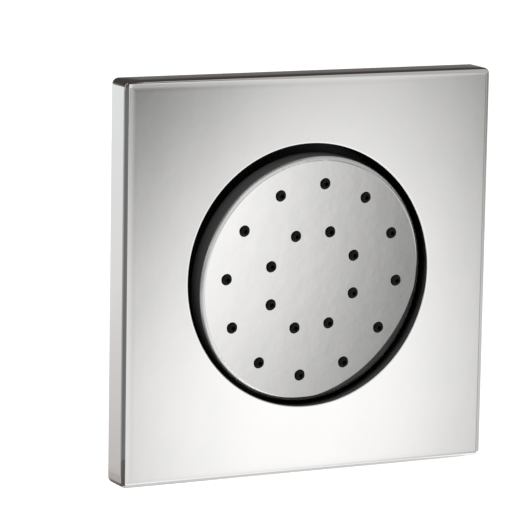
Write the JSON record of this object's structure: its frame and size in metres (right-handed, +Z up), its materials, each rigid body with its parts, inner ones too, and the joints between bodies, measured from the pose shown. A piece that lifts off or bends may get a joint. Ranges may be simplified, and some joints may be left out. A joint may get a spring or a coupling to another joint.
{
  "type": "shower body jet",
  "caption": "Square flush-mounted shower body jet: chrome cover plate round a spray face with rubber nozzles that swivels on a ball joint, with a wall bracket and a threaded inlet behind.",
  "frame": {"origin": "middle of the cover plate on the plane of the finished wall", "axes": "+Y into the wall along the inlet, -Y towards the bather, +Z up, +X to the bather's right as they look at the plate"},
  "size_m": [0.12, 0.0536, 0.12],
  "materials": {
    "plated_cover": "polished chrome on cast metal",
    "plated_face": "polished chrome",
    "plated_ball": "polished chrome on brass",
    "turned_brass": "turned, unpolished",
    "coated_steel": "pressed sheet, black satin coating",
    "pressed_steel": "flat stainless washer",
    "screw_steel": "stainless",
    "screen_steel": "perforated stainless",
    "nozzle_silicone": "moulded silicone, satin",
    "seal_rubber": "moulded rubber",
    "shell_plastic": "moulded, fine texture",
    "ring_plastic": "moulded acetal",
    "insert_plastic": "moulded acetal",
    "gasket_foam": "closed cell foam"
  },
  "bodies": {
    "root": {"cover_plate": "plated_cover", "wall_gasket": "gasket_foam", "wall_bracket": "coated_steel", "grub_screws": "screw_steel", "socket_body": "turned_brass", "base_washer": "seal_rubber", "lock_washer": "pressed_steel", "locknut": "turned_brass", "flow_regulator": "insert_plastic", "regulator_ring": "seal_rubber", "filter_screen": "screen_steel", "ball_seal": "seal_rubber", "retaining_nut": "turned_brass"},
    "swivel_ring": {"friction_ring": "ring_plastic"},
    "spray_head": {"swivel_ball": "plated_ball", "neck_washer": "seal_rubber", "head_shell": "shell_plastic", "face_screws": "screw_steel", "nozzle_mat": "nozzle_silicone", "spray_face": "plated_face"}
  },
  "joints": [
    {"name": "swivel", "type": "hinge", "parent": "root", "child": "swivel_ring", "pos_m": [0, 0.00478, 0], "axis": [0, 1, 0], "continuous": true},
    {"name": "tilt", "type": "hinge", "parent": "swivel_ring", "child": "spray_head", "pos_m": [0, 0.00478, 0], "axis": [0.809, 0, 0.5878], "range_deg": [-14, 1]}
  ]
}
